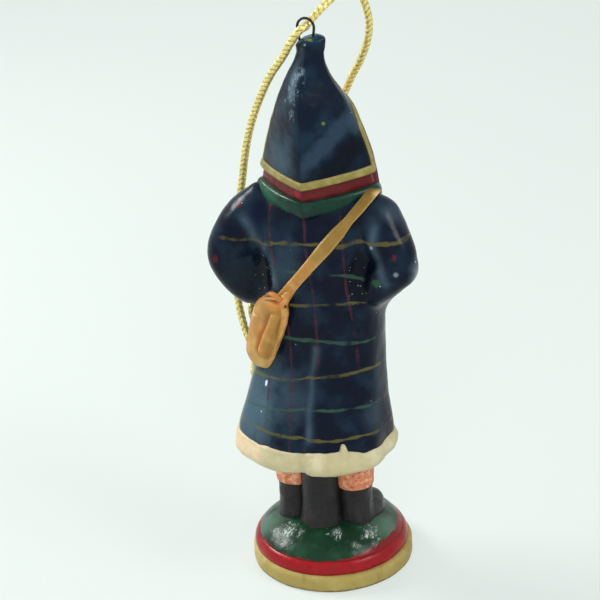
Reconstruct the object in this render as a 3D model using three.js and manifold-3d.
// Folk santa ornament: a painted cast figure on a round base, with a wire eye in the tip of its hood and a
// gold cord tied in a loop through the eye.
// Millimetres, +Z up. The figure faces -Y, its left hand is at +X, and the origin is the centre of the
// underside of the base.
import * as THREE from 'three';
import { mergeVertices } from 'three/addons/utils/BufferGeometryUtils.js';
import Module from 'manifold-3d';

const wasm = await Module();
wasm.setup();

// Clearances
const SEAT_GAP = 0.3;
const PIPING_GAP = 0.1;
const SOCKET_GAP = 0.1;

// Slivers thinner than this, left where pieces are cut, are closed up
const SLIVER = 0.05;

// Heights of the stacked pieces, from the underside of the base
const PLINTH_TOP = 3.5;
const BAND_TOP = 6.1;
const MOUND_TOP = 10;
const BOOT_TOP = 17.5;
const HEM_BOTTOM = 27.3;
const HEM_TOP = 32.4;
const COAT_TOP = 78.6;
const HOOD_BOTTOM = 81.7;
const HOOD_TIP = 108.4;

// Base
const BASE_RADIUS = 16.3;
const STEP_RADIUS = 15.9;
const BAND_RADIUS = 15.6;
const BAND_TOP_RADIUS = 14.7;
const MOUND_TOP_RADIUS = 10.6;
const UPPER_BASE = { x: 0.3, y: -0.1 };
const BASE_SEGMENTS = 40;

// Outlines of the base pieces: radius and height
const PLINTH = [
  [0, 0], [15.8, 0], [BASE_RADIUS, 0.5], [BASE_RADIUS, 2.8], [STEP_RADIUS, PLINTH_TOP], [0, PLINTH_TOP],
];
const BAND = [
  [0, PLINTH_TOP], [BAND_RADIUS, PLINTH_TOP], [BAND_RADIUS, 4.4], [15.2, 5.5], [BAND_TOP_RADIUS, BAND_TOP],
  [0, BAND_TOP],
];
const MOUND = [
  [0, BAND_TOP], [BAND_TOP_RADIUS, BAND_TOP], [14.4, 7.3], [13.6, 8.4], [12.4, 9.3],
  [MOUND_TOP_RADIUS, MOUND_TOP], [0, MOUND_TOP],
];

// Legs and the post that stands behind them
const LEFT_LEG = { x: 6.6, y: 2.2 };
const RIGHT_LEG = { x: -5.6, y: 0.6 };
const BOOT_RADIUS = 3.6;
const ANKLE_RADIUS = 3.5;
const SOLE_RADIUS = 3.8;
const ANKLE_HEIGHT = 3;
const TROUSER_RADIUS = 3.9;
const TROUSER_TOP_RADIUS = 4.1;
const TROUSER_EDGE = { inset: 0.2, height: 0.5 };
const LEG_SEGMENTS = 20;
const TOE_OUT = THREE.MathUtils.degToRad(10);
const FOOT = { behind: 2.8, halfLength: 5.8, height: 4 };
const POST = { x: 0.4, y: 3.7, radius: 4.0, footRadius: 4.5, footHeight: 4 };

// Outlines by height: how far the middle lies to the left, half width, furthest back and furthest forward
const HEM = [
  { z: HEM_BOTTOM, aside: 0.4, half: 15.0, back: 17.7, front: -8.0 },
  { z: 28.4, aside: 0.4, half: 15.8, back: 18.5, front: -8.7 },
  { z: 30.2, aside: 0.4, half: 15.9, back: 18.5, front: -8.9 },
  { z: 31.7, aside: 0.5, half: 15.6, back: 18.1, front: -8.9 },
  { z: HEM_TOP, aside: 0.5, half: 15.2, back: 17.7, front: -8.6 },
];
const COAT = [
  { z: HEM_TOP, aside: 0.5, half: 15.1, back: 17.6, front: -8.5 },
  { z: 38, aside: 0.4, half: 13.9, back: 15.6, front: -8.8 },
  { z: 44, aside: 0.1, half: 12.9, back: 12.9, front: -9.1 },
  { z: 50, aside: -0.3, half: 12.3, back: 11.4, front: -9.3 },
  { z: 55, aside: -0.3, half: 12.3, back: 10.8, front: -9.5 },
  { z: 62, aside: -0.1, half: 12.2, back: 10.4, front: -9.7 },
  { z: 69, aside: 0, half: 12.2, back: 9.6, front: -9.2 },
  { z: 74, aside: 0, half: 11.8, back: 8.0, front: -8.0 },
  { z: 77, aside: 0, half: 11.0, back: 6.7, front: -6.9 },
  { z: COAT_TOP, aside: 0, half: 10.2, back: 5.6, front: -6.0 },
];
const HOOD = [
  { z: COAT_TOP, aside: 0, half: 11.6, back: 8.7, front: -9.9 },
  { z: HOOD_BOTTOM, aside: 0, half: 11.1, back: 8.6, front: -9.9 },
  { z: 86, aside: 0, half: 10.2, back: 8.5, front: -9.7 },
  { z: 90, aside: 0.1, half: 9.0, back: 8.1, front: -9.1 },
  { z: 93.5, aside: 0.2, half: 7.9, back: 7.6, front: -8.4 },
  { z: 96.5, aside: 0.4, half: 6.6, back: 7.0, front: -7.4 },
  { z: 99, aside: 0.55, half: 5.3, back: 5.9, front: -5.8 },
  { z: 102, aside: 0.6, half: 3.8, back: 4.5, front: -3.8 },
  { z: 104.8, aside: 0.3, half: 2.75, back: 3.3, front: -2.4 },
  { z: 106.4, aside: 0.1, half: 2.75, back: 3.0, front: -2.4 },
  { z: 107.8, aside: 0.1, half: 2.5, back: 2.6, front: -2.2 },
  { z: HOOD_TIP, aside: 0.1, half: 1.5, back: 1.7, front: -1.4 },
];
const BEARD = [
  { z: 67.2, aside: 0, half: 1.0, back: -5.5, front: -11.4 },
  { z: 70, aside: 0, half: 3.4, back: -5, front: -12.9 },
  { z: 74, aside: 0, half: 5.4, back: -5, front: -13.9 },
  { z: 78, aside: 0, half: 6.7, back: -4.5, front: -14.1 },
  { z: 82, aside: 0, half: 7.2, back: -4.5, front: -13.4 },
  { z: 85, aside: 0, half: 6.9, back: -4.5, front: -12.2 },
  { z: 86.6, aside: 0, half: 6.2, back: -4.5, front: -11.2 },
];
const HEM_LEVELS = [HEM_BOTTOM, 27.7, 28.6, 30.2, 31.6, HEM_TOP];
const HOOD_LEVELS = [
  COAT_TOP, HOOD_BOTTOM, 85, 88, 91, 93.5, 95.5, 97.5, 99.5, 102, 104, 105.2, 106.4, 107.6, HOOD_TIP,
];
const COAT_STEPS = 12;
const BEARD_STEPS = 7;

// How square or pointed the sections are: 2 is round, less is pointed
const COAT_POWER = 2.2;
const ROUND_POWER = 2;
const KEEL_POWER = 1.2;
const COLLAR_POWER = 1.3;

// Soft folds of the skirt, deepest at the hem
const FOLD_COUNT = 9;
const FOLD_DEPTH = 0.3;
const FOLD_PHASE = THREE.MathUtils.degToRad(27);
const FOLD_TOP = 52;

// Sleeve centrelines, with the radius at each point; the left elbow hangs a little lower than the right one
const SLEEVE_WRIST = { at: [8.6, -9.6, 58.0], radius: 4.1 };
const SLEEVE = {
  left: [
    { at: [5.6, 0.2, 74.2], radius: 4.2 },
    { at: [11.0, 0.9, 74.2], radius: 5.1 },
    { at: [15.0, 2.8, 70.4], radius: 5.0 },
    { at: [17.8, 4.0, 65.4], radius: 3.9 },
    { at: [13.3, 2.4, 60.1], radius: 4.9 },
    { at: [10.6, -4.4, 58.4], radius: 4.5 },
    SLEEVE_WRIST,
  ],
  right: [
    { at: [5.6, 0.2, 74.4], radius: 4.2 },
    { at: [11.4, 0.9, 75.0], radius: 4.7 },
    { at: [14.6, 2.2, 71.6], radius: 4.6 },
    { at: [17.0, 3.6, 67.2], radius: 3.9 },
    { at: [10.8, 2.2, 61.0], radius: 4.2 },
    { at: [9.8, -4.4, 59.4], radius: 4.4 },
    SLEEVE_WRIST,
  ],
};
const CUFF = [
  { at: [8.4, -9.9, 57.8], radius: 4.6 },
  { at: [7.5, -10.9, 57.3], radius: 5.0 },
  { at: [6.6, -11.8, 56.8], radius: 4.5 },
];
const MITTEN = { at: [4.7, -12.6, 56.2], radii: [3.5, 2.5, 3.1] };

// Hood trim and face opening; the head and all it wears are turned a little to the left
const HEAD_TURN = 5;
const HOOD_EDGE_RISE = 0.1;
const PIPING_WIDTH = 1.45;
const PIPING_THICKNESS = 0.45;
const NECK_INSET = 0.35;
const LIP_INSET = 0.15;
const LINING_LIP = 1.6;
const FACE_OPENING = {
  edge: -2.4, lean: 0.2, cornerLean: 0.5, floor: 60, archStart: 90.5, archTop: 95.2, archRun: 10.6,
  archRise: 1,
};

// Green collar: level at the sides, drawn down to a point at the back
const COLLAR_SIDE = { bottom: 77.9, top: 80.2 };
const COLLAR_DROP = { bottom: 1.6, top: 1.3 };
const COLLAR_FRONT_DROP = 0.6;
const COLLAR_POINT_ANGLE = THREE.MathUtils.degToRad(75);
const COLLAR_RINGS = [
  { side: 'bottom', growUp: -1, aside: 0, half: 8.0, back: 4.5, front: -6.0 },
  { side: 'bottom', growUp: -1, aside: 0, half: 12.2, back: 8.7, front: -9.6 },
  { side: 'middle', growUp: 0, aside: 0, half: 12.3, back: 9.1, front: -10.2 },
  { side: 'top', growUp: 1, aside: 0, half: 11.8, back: 9.0, front: -10.4 },
  { side: 'top', growUp: 1, aside: 0, half: 8.0, back: 6.0, front: -7.0 },
];
const COLLAR_POINTS = 32;

// Head, with hair on it
const HEAD = { at: [0, -6.2, 87.6], radii: [6.4, 5.8, 7.6] };
const NOSE = { at: [0, -12.1, 86.9], radii: [1.3, 1.3, 1.7] };
const MOUSTACHE = [
  { at: [0.35, -13.2, 84.8], radius: 0.9 },
  { at: [2.8, -13.3, 84.3], radius: 1.35 },
  { at: [5.6, -12.4, 82.8], radius: 0.45 },
];
const BROW = [
  { at: [1.0, -12.0, 90.0], radius: 0.5 },
  { at: [2.8, -11.5, 90.8], radius: 0.75 },
  { at: [4.6, -10.0, 90.2], radius: 0.35 },
];

// Fur trim down the front of the coat
const TRIM_HALF_WIDTH = 2.0;
const TRIM_THICKNESS = 1.3;
const TRIM_TOP = 59;

// Satchel strap: a band in a slanted plane round the coat, wide at the shoulder and narrow at the bag
const STRAP_SHOULDER = new THREE.Vector3(-10.2, 5, 77.6);
const STRAP_BAG = new THREE.Vector3(6.7, 10, 58.6);
const STRAP_FORWARD_RISE = 0.13;
const STRAP_WIDTH_SHOULDER = 3.1;
const STRAP_WIDTH_BAG = 1.9;
const STRAP_THICKNESS = 0.9;
const STRAP_OVERRUN = 25;
const STRAP_BACK_LIMIT = 52;

// Satchel: a pouch on the left of the back, leaning towards its strap
const SATCHEL_CENTRE = new THREE.Vector3(7.1, 10.4, 53.2);
const SATCHEL_LENGTH = 16.7;
const SATCHEL_FACING = THREE.MathUtils.degToRad(66);
const SATCHEL_LEAN = THREE.MathUtils.degToRad(-25);
const SATCHEL_RINGS = [
  { along: -0.5, width: 1.5, depth: 0.9 },
  { along: -0.44, width: 2.6, depth: 1.7 },
  { along: -0.28, width: 3.5, depth: 2.4 },
  { along: -0.08, width: 4.0, depth: 2.6 },
  { along: 0.14, width: 4.45, depth: 2.5 },
  { along: 0.32, width: 4.4, depth: 2.4 },
  { along: 0.44, width: 3.4, depth: 2.2 },
  { along: 0.5, width: 2.2, depth: 1.6 },
];

// Curled lip of the satchel, in the satchel's own frame: across, outward and along from its centre
const SATCHEL_LIP = [
  { place: [2.9, 1.2, 7.4], radius: 0.48 },
  { place: [1.2, 2.6, 8.4], radius: 0.8 },
  { place: [-1.4, 2.6, 8.4], radius: 0.8 },
  { place: [-3.1, 1.2, 7.4], radius: 0.48 },
];

// Wire eye
const WIRE_RADIUS = 0.25;
const WIRE_STEP = 0.8;
const WIRE_SIDES = 8;
const EYE = { x: 0.7, halfWidth: 1.65, legHalfWidth: 1.32, legFoot: 105.4, legTop: 110.1 };

// Hanging cord: two strands from the eye to the knot
const CORD_DIAMETER = 1.5;
const CORD_STEP = 1.9 * CORD_DIAMETER;
const CORD_SIDES = 8;
const LEFT_STRAND = [
  [0.7, 0.25, 110.2], [1.3, 1.3, 109.8], [3.3, 1.3, 107.2], [5.3, 0.5, 104.4], [8.5, -0.3, 100.3],
  [11.75, -1.8, 95.0], [14.7, -3.4, 89.1], [16.75, -4.7, 83.4], [18.5, -5.7, 76.3], [20.2, -5.8, 68],
  [20.7, -5.2, 60], [20.2, -4.1, 52.2], [18.4, -2.6, 46.8], [17.1, -1.6, 44.8],
];
const RIGHT_STRAND = [
  [0.7, -0.25, 110.2], [0.35, -1.4, 110.9], [-0.8, -2.8, 112.4], [-2.4, -5.0, 114.2], [-4.2, -8.0, 115.6],
  [-5.5, -10.2, 114.8], [-6.2, -11.4, 112.6], [-6.6, -12.7, 108.7], [-5.8, -13.7, 104.6],
  [-3.9, -14.5, 100.4], [-1.6, -15.3, 96.6], [1.0, -16.1, 91.5], [3.4, -16.7, 85], [6.0, -17.0, 77],
  [9.4, -16.9, 69], [13.6, -15.3, 61.5], [17.4, -11.0, 55], [18.2, -5.8, 50], [16.0, -3.3, 46.4],
  [14.9, -1.2, 44.8],
];
const KNOT = { at: [15.8, -1.6, 42.8], radii: [1.6, 1.6, 1.7] };

// Cut ends of the cord below the knot, which lean out over the flare of the coat: distance to each side and
// drop from the middle of the knot
const TAIL = [{ aside: 0.3, drop: 0 }, { aside: 0.5, drop: 3.2 }, { aside: 0.8, drop: 5.4 }];
const TAIL_LEAN = 0.07;

// Colours, roughness and metalness of the painted and metal finishes
const FINISH = {
  gold: { color: 0xb9a04f, roughness: 0.6, metalness: 0 },
  red: { color: 0x9c1f24, roughness: 0.35, metalness: 0 },
  green: { color: 0x1d4a30, roughness: 0.3, metalness: 0 },
  navy: { color: 0x17263c, roughness: 0.25, metalness: 0 },
  charcoal: { color: 0x2a2627, roughness: 0.45, metalness: 0 },
  copper: { color: 0xb8704c, roughness: 0.5, metalness: 0 },
  fur: { color: 0xd8cfa8, roughness: 0.55, metalness: 0 },
  tan: { color: 0xb07a32, roughness: 0.45, metalness: 0 },
  skin: { color: 0xd9a483, roughness: 0.5, metalness: 0 },
  wire: { color: 0x202226, roughness: 0.4, metalness: 1 },
  cord: { color: 0xcda43a, roughness: 0.3, metalness: 1 },
};

// Solids and meshes
function solid(geometry) {
  const bare = geometry.clone();
  bare.deleteAttribute('normal');
  bare.deleteAttribute('uv');
  const merged = mergeVertices(bare, 1e-4);
  const vertProperties = new Float32Array(merged.attributes.position.array);
  const triVerts = new Uint32Array(merged.index.array);
  return new wasm.Manifold(new wasm.Mesh({ numProp: 3, vertProperties, triVerts }));
}

function geometryOf(body) {
  const mesh = body.asOriginal().simplify(SLIVER).getMesh();
  const geometry = new THREE.BufferGeometry();
  geometry.setAttribute('position', new THREE.BufferAttribute(new Float32Array(mesh.vertProperties), 3));
  geometry.setIndex(new THREE.BufferAttribute(new Uint32Array(mesh.triVerts), 1));
  geometry.computeVertexNormals();
  return geometry;
}

function cut(body, ...tools) {
  return tools.reduce((left, tool) => left.subtract(tool), body);
}

function largest(body) {
  const bodies = body.decompose();
  return bodies.reduce((best, next) => (next.volume() > best.volume() ? next : best));
}

function block(low, high) {
  const size = high.map((value, axis) => value - low[axis]);
  const centre = high.map((value, axis) => (value + low[axis]) / 2);
  return solid(new THREE.BoxGeometry(...size).translate(...centre));
}

const FAR = 60;
const between = (low, high) => block([-FAR, -FAR, low], [FAR, FAR, high]);

// A closed skin through rings of points, with a fan over each end
function loft(rings) {
  const count = rings[0].length;
  const positions = rings.flat().flatMap((point) => point.toArray());
  const index = [];
  const addCentre = (ring) => {
    const centre = ring.reduce((sum, point) => sum.add(point), new THREE.Vector3()).divideScalar(count);
    positions.push(...centre.toArray());
    return positions.length / 3 - 1;
  };
  for (let ring = 0; ring < rings.length - 1; ring += 1) {
    for (let k = 0; k < count; k += 1) {
      const a = ring * count + k;
      const b = ring * count + ((k + 1) % count);
      index.push(a, b, b + count, a, b + count, a + count);
    }
  }
  const first = addCentre(rings[0]);
  const last = addCentre(rings.at(-1));
  const top = (rings.length - 1) * count;
  for (let k = 0; k < count; k += 1) {
    const next = (k + 1) % count;
    index.push(first, next, k, last, top + k, top + next);
  }
  const geometry = new THREE.BufferGeometry();
  geometry.setAttribute('position', new THREE.Float32BufferAttribute(positions, 3));
  geometry.setIndex(index);
  return geometry;
}

// The smooth outline between the stations of a table
function outlineOf(stations) {
  const heights = stations.map((station) => station.z);
  const values = stations.flatMap(({ aside, half, back, front }) => [aside, half, back, front]);
  const spline = new THREE.CubicInterpolant(heights, values, 4);
  return (z) => {
    const [aside, half, back, front] = spline.evaluate(z);
    return { aside, half, back, front };
  };
}

const powered = (value, power) => Math.sign(value) * Math.abs(value) ** (2 / power);

// One level section: a superellipse with its own power behind and in front of its middle
function sectionRing(z, { aside, half, back, front }, { points, backPower, frontPower, grow, relief }) {
  const middle = (back + front) / 2;
  const depth = (back - front) / 2;
  const ring = [];
  for (let k = 0; k < points; k += 1) {
    const angle = (2 * Math.PI * k) / points;
    const power = Math.sin(angle) > 0 ? backPower : frontPower;
    const out = grow + relief(z, angle);
    const x = aside + (half + out) * powered(Math.cos(angle), power);
    const y = middle + (depth + out) * powered(Math.sin(angle), power);
    ring.push(new THREE.Vector3(x, y, z));
  }
  return ring;
}

function levelLoft(stations, levels, options) {
  const settings = {
    points: 40, backPower: ROUND_POWER, frontPower: ROUND_POWER, grow: 0, relief: () => 0, ...options,
  };
  const outline = outlineOf(stations);
  const last = levels.length - 1;
  const rings = levels.map((z, i) => {
    const endGrow = (i === 0 ? -settings.grow : 0) + (i === last ? settings.grow : 0);
    return sectionRing(z + endGrow, outline(z), settings);
  });
  return solid(loft(rings));
}

const evenLevels = (low, high, steps) =>
  Array.from({ length: steps + 1 }, (_, i) => low + ((high - low) * i) / steps);

// A round limb along a smooth centreline whose radius changes from point to point
function limb(stations, { side = 1, grow = 0, steps = 12, sides = 20 } = {}) {
  const at = stations.map(({ at: [x, y, z] }) => new THREE.Vector3(side * x, y, z));
  const curve = new THREE.CatmullRomCurve3(at, false, 'centripetal');
  const places = stations.map((_, i) => i / (stations.length - 1));
  const radius = new THREE.CubicInterpolant(places, stations.map((station) => station.radius), 1);
  const frames = curve.computeFrenetFrames(steps);
  const rings = [];
  for (let i = 0; i <= steps; i += 1) {
    const along = i / steps;
    const centre = curve.getPointAt(along);
    const reach = radius.evaluate(along)[0] + grow;
    const endGrow = (i === 0 ? -grow : 0) + (i === steps ? grow : 0);
    centre.addScaledVector(frames.tangents[i], endGrow);
    rings.push(circlePoints(sides, reach).map(({ x, y }) => centre.clone()
      .addScaledVector(frames.normals[i], x)
      .addScaledVector(frames.binormals[i], y)));
  }
  return solid(loft(rings));
}

function circlePoints(sides, radius) {
  return Array.from({ length: sides }, (_, k) => {
    const angle = (2 * Math.PI * k) / sides;
    return new THREE.Vector2(radius * Math.cos(angle), radius * Math.sin(angle));
  });
}

function ellipsoid({ at, radii }, { side = 1, grow = 0, across = 20, down = 12 } = {}) {
  const ball = new THREE.SphereGeometry(1, across, down);
  ball.rotateX(Math.PI / 2);
  ball.scale(...radii.map((radius) => radius + grow));
  ball.translate(side * at[0], at[1], at[2]);
  return solid(ball);
}

// A turned piece about the upright axis through x, y
function turned(profile, { x = 0, y = 0, segments = BASE_SEGMENTS } = {}) {
  const points = profile.map(([radius, z]) => new THREE.Vector2(radius, z));
  const geometry = new THREE.LatheGeometry(points, segments);
  geometry.rotateX(Math.PI / 2);
  geometry.translate(x, y, 0);
  return solid(geometry);
}

// A round tube of even thickness along a smooth path
function tube(path, radius, step, sides) {
  const steps = Math.round(path.getLength() / step);
  const section = new THREE.Shape(circlePoints(sides, radius));
  return solid(new THREE.ExtrudeGeometry(section, { steps, bevelEnabled: false, extrudePath: path }));
}

// Base
const plinth = () => turned(PLINTH);
const band = () => turned(BAND, UPPER_BASE);
const mound = () => turned(MOUND, UPPER_BASE);

// Legs
const post = (grow = 0) => turned([
  [0, MOUND_TOP], [POST.footRadius + grow, MOUND_TOP], [POST.radius + grow, MOUND_TOP + POST.footHeight],
  [POST.radius + grow, HEM_BOTTOM], [0, HEM_BOTTOM],
], { x: POST.x, y: POST.y, segments: LEG_SEGMENTS });

const legPlace = (side) => (side > 0 ? LEFT_LEG : RIGHT_LEG);

function boot(side) {
  const { x, y } = legPlace(side);
  const shaft = turned([
    [0, MOUND_TOP], [SOLE_RADIUS, MOUND_TOP], [ANKLE_RADIUS, MOUND_TOP + ANKLE_HEIGHT],
    [BOOT_RADIUS, BOOT_TOP], [0, BOOT_TOP],
  ], { x, y, segments: LEG_SEGMENTS });
  const foot = new THREE.SphereGeometry(1, LEG_SEGMENTS, 10);
  foot.scale(SOLE_RADIUS, FOOT.halfLength, FOOT.height);
  foot.translate(0, -FOOT.behind, 0);
  foot.rotateZ(side * TOE_OUT);
  foot.translate(x, y, MOUND_TOP);
  return cut(shaft.add(solid(foot)), between(-FAR, MOUND_TOP), post(SEAT_GAP));
}

function trouserLeg(side) {
  const leg = turned([
    [0, BOOT_TOP], [TROUSER_RADIUS - TROUSER_EDGE.inset, BOOT_TOP],
    [TROUSER_RADIUS, BOOT_TOP + TROUSER_EDGE.height],
    [TROUSER_TOP_RADIUS, HEM_BOTTOM], [0, HEM_BOTTOM],
  ], { ...legPlace(side), segments: LEG_SEGMENTS });
  return cut(leg, post(SEAT_GAP));
}

// Coat
function foldRelief(z, angle) {
  const fall = THREE.MathUtils.clamp((FOLD_TOP - z) / (FOLD_TOP - HEM_BOTTOM), 0, 1);
  return FOLD_DEPTH * fall * Math.cos(FOLD_COUNT * angle + FOLD_PHASE);
}

const hem = () => levelLoft(HEM, HEM_LEVELS,
  { points: 48, backPower: COAT_POWER, frontPower: COAT_POWER, relief: foldRelief });

const coat = (grow = 0) => levelLoft(COAT, evenLevels(HEM_TOP, COAT_TOP, COAT_STEPS),
  { points: 48, backPower: COAT_POWER, frontPower: COAT_POWER, grow, relief: foldRelief });

const sleeveForm = (side, grow = 0) => limb(side > 0 ? SLEEVE.left : SLEEVE.right,
  { side, grow, steps: 15, sides: 20 });
const sleeve = (side) => largest(cut(sleeveForm(side), coat(SEAT_GAP), collarForm(SEAT_GAP)));

const cuffForm = (side, grow = 0) => limb(CUFF, { side, grow, steps: 4, sides: 16 });
const cuff = (side) => cut(cuffForm(side), coat(SEAT_GAP), sleeveForm(side, SEAT_GAP));

const mittenForm = (side, grow = 0) => ellipsoid(MITTEN, { side, grow, across: 14, down: 8 });
const mitten = (side) => largest(cut(mittenForm(side), coat(SEAT_GAP), cuffForm(side, SEAT_GAP)));

function frontTrim() {
  const skin = coat(TRIM_THICKNESS).subtract(coat(SEAT_GAP));
  const strip = skin.intersect(block([-TRIM_HALF_WIDTH, -FAR, HEM_TOP], [TRIM_HALF_WIDTH, 0, TRIM_TOP]));
  const hands = [1, -1].flatMap((side) => [mittenForm(side, SEAT_GAP), cuffForm(side, SEAT_GAP)]);
  return largest(cut(strip, ...hands));
}

// Hood
const turnedHead = (body) => body.rotate([0, 0, HEAD_TURN]);

const hoodForm = (grow = 0) => turnedHead(
  levelLoft(HOOD, HOOD_LEVELS, { points: 40, backPower: KEEL_POWER, grow }),
);

// All that lies below the lower edge of the hood, which rises from the ridge to both sides
function belowEdge(height) {
  const profile = new THREE.Shape();
  profile.moveTo(-FAR, -FAR);
  profile.lineTo(FAR, -FAR);
  profile.lineTo(FAR, height + HOOD_EDGE_RISE * FAR);
  profile.lineTo(0, height);
  profile.lineTo(-FAR, height + HOOD_EDGE_RISE * FAR);
  const room = new THREE.ExtrudeGeometry(profile, { depth: 2 * FAR, bevelEnabled: false });
  room.translate(0, 0, -FAR);
  room.rotateX(Math.PI / 2);
  return turnedHead(solid(room));
}

// The room in front of the face opening; a positive shift moves its edge back and up into the hood
function faceRoom(shift) {
  const { lean, cornerLean, archRun, floor, archRise } = FACE_OPENING;
  const edge = FACE_OPENING.edge + shift;
  const archStart = FACE_OPENING.archStart + shift;
  const archTop = FACE_OPENING.archTop + shift;
  const profile = new THREE.Shape();
  profile.moveTo(-FAR, floor);
  profile.lineTo(edge, floor);
  profile.lineTo(edge - lean, archStart);
  profile.quadraticCurveTo(edge - cornerLean, archTop, edge - archRun, archTop + archRise);
  profile.lineTo(-FAR, archTop + archRise);
  const room = new THREE.ExtrudeGeometry(profile, { depth: 2 * FAR, bevelEnabled: false, curveSegments: 6 });
  room.translate(0, 0, -FAR);
  const [right, back, up] = [0, 1, 2].map((axis) => new THREE.Vector3().setComponent(axis, 1));
  room.applyMatrix4(new THREE.Matrix4().makeBasis(back, up, right));
  return turnedHead(solid(room));
}

function eyePath() {
  const { x, halfWidth, legHalfWidth, legFoot, legTop } = EYE;
  const arch = evenLevels(0, Math.PI, 8).map((angle) => new THREE.Vector3(
    x + halfWidth * Math.cos(angle), 0, legTop + halfWidth * Math.sin(angle),
  ));
  const legs = [1, -1].map((side) => [legFoot, (legFoot + legTop) / 2].map((z) => (
    new THREE.Vector3(x + side * legHalfWidth, 0, z))));
  return new THREE.CatmullRomCurve3([...legs[0], ...arch, ...legs[1].reverse()], false, 'centripetal');
}

const wireEye = (grow = 0) => tube(eyePath(), WIRE_RADIUS + grow, WIRE_STEP, WIRE_SIDES);

const hood = () => largest(cut(hoodForm(), belowEdge(HOOD_BOTTOM), faceRoom(0), wireEye(SOCKET_GAP)));

function hoodPiping() {
  const skin = hoodForm(PIPING_THICKNESS).subtract(hoodForm(PIPING_GAP));
  const border = belowEdge(HOOD_BOTTOM + PIPING_WIDTH).add(faceRoom(PIPING_WIDTH));
  return largest(cut(skin.intersect(border), belowEdge(HOOD_BOTTOM), faceRoom(0)));
}

function liningForm(grow = 0) {
  const skirt = hoodForm(grow - NECK_INSET).intersect(between(COAT_TOP, HOOD_TIP));
  const neck = skirt.intersect(belowEdge(HOOD_BOTTOM));
  const inside = hoodForm(grow - LIP_INSET).intersect(faceRoom(-PIPING_GAP));
  const lip = inside.intersect(between(HOOD_BOTTOM - PIPING_WIDTH, HOOD_TIP));
  return cut(neck.add(lip), faceRoom(-LINING_LIP - grow));
}
const lining = () => largest(liningForm());

function collarForm(grow = 0) {
  const shape = {
    points: COLLAR_POINTS, backPower: COLLAR_POWER, frontPower: ROUND_POWER, grow, relief: () => 0,
  };
  const rings = COLLAR_RINGS.map(({ side, growUp, ...flat }) => (
    sectionRing(0, flat, shape).map((point, k) => {
      const angle = (2 * Math.PI * k) / COLLAR_POINTS;
      return point.setZ(collarHeight(side, angle) + growUp * grow);
    })));
  return turnedHead(solid(loft(rings)));
}

function collarHeight(side, angle) {
  if (side === 'middle') {
    return (collarHeight('bottom', angle) + collarHeight('top', angle)) / 2;
  }
  const fromBack = Math.abs(angle - Math.PI / 2);
  const point = Math.max(0, 1 - fromBack / COLLAR_POINT_ANGLE);
  const front = Math.max(0, -Math.sin(angle));
  return COLLAR_SIDE[side] - COLLAR_DROP[side] * point - COLLAR_FRONT_DROP * front;
}

const collar = () => largest(cut(
  collarForm(), coat(SEAT_GAP), liningForm(SEAT_GAP), headForm(SEAT_GAP),
));

// Head
const headForm = (grow = 0) => turnedHead(
  ellipsoid(HEAD, { grow, across: 20, down: 12 }).add(ellipsoid(NOSE, { grow, across: 10, down: 6 })),
);
const head = () => largest(headForm().intersect(faceRoom(-LINING_LIP - SEAT_GAP)));

const beardForm = (grow = 0) => turnedHead(
  levelLoft(BEARD, evenLevels(BEARD[0].z, BEARD.at(-1).z, BEARD_STEPS), { points: 24, grow }),
);
const beard = () => largest(cut(
  beardForm(), headForm(SEAT_GAP), coat(SEAT_GAP), liningForm(SEAT_GAP), collarForm(SEAT_GAP),
));

const moustache = (side) => largest(cut(
  turnedHead(limb(MOUSTACHE, { side, steps: 6, sides: 10 })), headForm(SEAT_GAP), beardForm(SEAT_GAP),
));
const brow = (side) => largest(cut(turnedHead(limb(BROW, { side, steps: 5, sides: 8 })), headForm(SEAT_GAP)));

// Satchel and strap
function satchelFrame() {
  const out = new THREE.Vector3(Math.cos(SATCHEL_FACING), Math.sin(SATCHEL_FACING), 0);
  const across = new THREE.Vector3(Math.sin(SATCHEL_FACING), -Math.cos(SATCHEL_FACING), 0);
  const up = new THREE.Vector3(0, 0, 1).applyAxisAngle(out, SATCHEL_LEAN);
  return { out, across: across.applyAxisAngle(out, SATCHEL_LEAN), up };
}

function satchelPoint(across, out, up) {
  const frame = satchelFrame();
  return SATCHEL_CENTRE.clone()
    .addScaledVector(frame.across, across)
    .addScaledVector(frame.out, out)
    .addScaledVector(frame.up, up);
}

function satchelForm(grow = 0) {
  const rings = SATCHEL_RINGS.map(({ along, width, depth }) => (
    circlePoints(20, 1).map(({ x, y }) => satchelPoint(
      (width + grow) * x, (depth + grow) * y, along * (SATCHEL_LENGTH + 2 * grow),
    ))));
  return solid(loft(rings));
}
const satchel = () => largest(cut(satchelForm(), coat(SEAT_GAP), sleeveForm(1, SEAT_GAP)));

function satchelLip(grow = 0) {
  const stations = SATCHEL_LIP.map(({ place, radius }) => ({ at: satchelPoint(...place).toArray(), radius }));
  return limb(stations, { grow, steps: 7, sides: 8 });
}
const lip = () => largest(cut(
  satchelLip(), satchelForm(SEAT_GAP), coat(SEAT_GAP), sleeveForm(1, SEAT_GAP),
));

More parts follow.
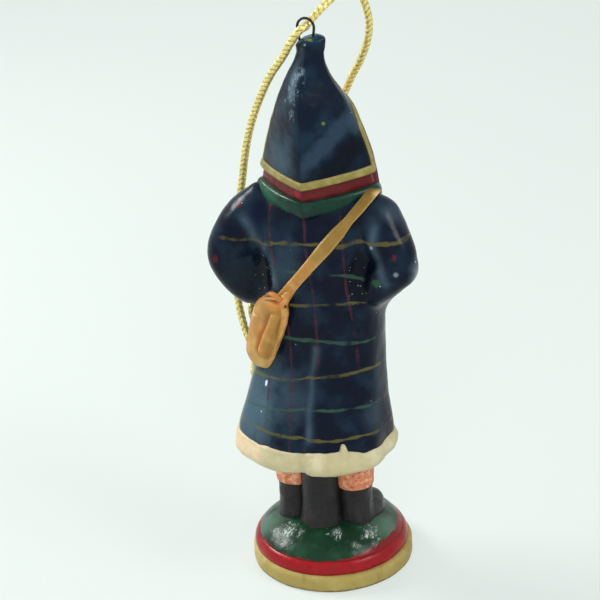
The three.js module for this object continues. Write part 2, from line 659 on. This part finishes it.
// The slanted band of space that the strap keeps to
function strapSlab() {
  const along = STRAP_BAG.clone().sub(STRAP_SHOULDER).setY(0).normalize();
  const through = new THREE.Vector3(0, 1, -STRAP_FORWARD_RISE).normalize();
  const across = through.clone().cross(along).normalize();
  const length = STRAP_SHOULDER.distanceTo(STRAP_BAG);
  const taper = (STRAP_WIDTH_SHOULDER - STRAP_WIDTH_BAG) / 2 / length;
  const halfWidthAt = (place) => STRAP_WIDTH_SHOULDER / 2 - taper * place;
  const [start, end] = [-STRAP_OVERRUN, length + STRAP_OVERRUN];
  const outline = new THREE.Shape([
    new THREE.Vector2(start, -halfWidthAt(start)), new THREE.Vector2(end, -halfWidthAt(end)),
    new THREE.Vector2(end, halfWidthAt(end)), new THREE.Vector2(start, halfWidthAt(start)),
  ]);
  const slab = new THREE.ExtrudeGeometry(outline, { depth: 2 * FAR, bevelEnabled: false });
  slab.translate(0, 0, -FAR);
  const placed = new THREE.Matrix4().makeBasis(along, across, through).setPosition(STRAP_SHOULDER);
  return solid(slab.applyMatrix4(placed));
}

function strapForm() {
  const carrier = (grow) => coat(grow).add(sleeveForm(-1, grow));
  const skin = carrier(SEAT_GAP + STRAP_THICKNESS).subtract(carrier(SEAT_GAP));
  return cut(
    skin.intersect(strapSlab()),
    collarForm(SEAT_GAP), liningForm(SEAT_GAP), sleeveForm(1, SEAT_GAP), satchelForm(SEAT_GAP),
    satchelLip(SEAT_GAP),
  );
}

const behind = block([-FAR, 0, 0], [FAR, FAR, HOOD_TIP]);
const strapBack = () => largest(strapForm().intersect(behind).intersect(between(STRAP_BACK_LIMIT, HOOD_TIP)));

function strapFront() {
  const hands = [1, -1].flatMap((side) => [mittenForm(side, SEAT_GAP), cuffForm(side, SEAT_GAP)]);
  const front = strapForm().intersect(block([-FAR, -FAR, 0], [FAR, -SEAT_GAP, HOOD_TIP]));
  return largest(cut(front, beardForm(SEAT_GAP), ...hands));
}

// Cord
function strand(places) {
  const path = new THREE.CatmullRomCurve3(places.map((place) => new THREE.Vector3(...place)));
  return tube(path, CORD_DIAMETER / 2, CORD_STEP, CORD_SIDES);
}

function knot() {
  const [x, y, z] = KNOT.at;
  const radius = CORD_DIAMETER / 2;
  const tail = (side) => {
    const at = TAIL.map(({ aside, drop }) => [x + TAIL_LEAN * drop, y + side * aside, z - drop]);
    return limb(at.map((place) => ({ at: place, radius })), { steps: 3, sides: CORD_SIDES });
  };
  return ellipsoid(KNOT, { across: 12, down: 8 }).add(tail(1)).add(tail(-1));
}

// Assembly
const ornament = new THREE.Group();

function add(name, body, finish) {
  const mesh = new THREE.Mesh(geometryOf(body), new THREE.MeshStandardMaterial(FINISH[finish]));
  mesh.name = name;
  ornament.add(mesh);
}

add('base_plinth', plinth(), 'gold');
add('base_band', band(), 'red');
add('base_mound', mound(), 'green');
add('support_post', post(), 'charcoal');
add('fur_hem', hem(), 'fur');
add('coat', coat(), 'navy');
add('front_fur_trim', frontTrim(), 'fur');
for (const [name, side] of [['left', 1], ['right', -1]]) {
  add(`${name}_boot`, boot(side), 'charcoal');
  add(`${name}_trouser_leg`, trouserLeg(side), 'copper');
  add(`${name}_sleeve`, sleeve(side), 'navy');
  add(`${name}_cuff`, cuff(side), 'fur');
  add(`${name}_mitten`, mitten(side), 'charcoal');
  add(`${name}_moustache`, moustache(side), 'fur');
  add(`${name}_brow`, brow(side), 'fur');
}
add('collar', collar(), 'green');
add('hood_lining', lining(), 'red');
add('hood', hood(), 'navy');
add('hood_piping', hoodPiping(), 'gold');
add('head', head(), 'skin');
add('beard', beard(), 'fur');
add('satchel', satchel(), 'tan');
add('satchel_lip', lip(), 'tan');
add('strap_back', strapBack(), 'tan');
add('strap_front', strapFront(), 'tan');
add('wire_eye', wireEye(), 'wire');
add('cord_left_strand', strand(LEFT_STRAND), 'cord');
add('cord_right_strand', strand(RIGHT_STRAND), 'cord');
add('cord_knot', knot(), 'cord');

export default ornament;
